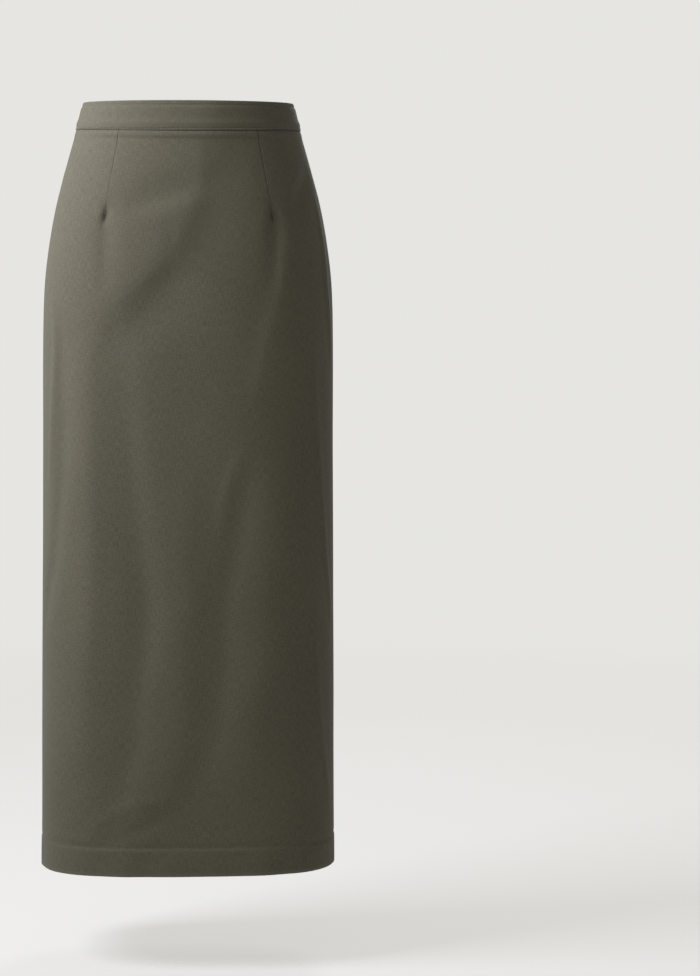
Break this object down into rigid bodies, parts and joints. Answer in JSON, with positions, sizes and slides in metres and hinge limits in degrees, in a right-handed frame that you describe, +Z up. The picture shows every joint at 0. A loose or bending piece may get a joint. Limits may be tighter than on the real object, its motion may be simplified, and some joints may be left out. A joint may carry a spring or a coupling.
{
  "type": "pencil skirt",
  "caption": "Long straight pencil skirt in olive twill, filled out as worn: narrow waistband, waist darts, turned hem, and a centre back seam with a short zip whose pull swings.",
  "frame": {"origin": "the middle of the waist, on the body's middle line and level with the middle of the waistband, where the wearer's waist holds the skirt up", "axes": "+Z up out of the waist, -Y to the front, +X to the wearer's left"},
  "size_m": [0.371, 0.2471, 0.96],
  "materials": {
    "twill": "matt cotton twill with a fine diagonal rib, olive grey-khaki",
    "zip_tape": "matt woven tape, dark olive",
    "zip_coil": "satin nylon coil, dark olive",
    "zip_metal": "glossy near-black enamel, greyer where the pull is thumbed"
  },
  "bodies": {
    "skirt": {"front_panel": "twill", "back_panel_left": "twill", "back_panel_right": "twill", "waistband_front": "twill", "waistband_back_left": "twill", "waistband_back_right": "twill", "zip_tape_left": "zip_tape", "zip_tape_right": "zip_tape", "zip_chain": "zip_coil", "zip_slider": "zip_metal"},
    "zip_pull": {"zip_pull": "zip_metal"}
  },
  "joints": [
    {"name": "zip_pull_swing", "type": "hinge", "parent": "skirt", "child": "zip_pull", "pos_m": [0, 0.09843, 0.00872], "axis": [1, 0, 0], "range_deg": [0, 160]}
  ]
}
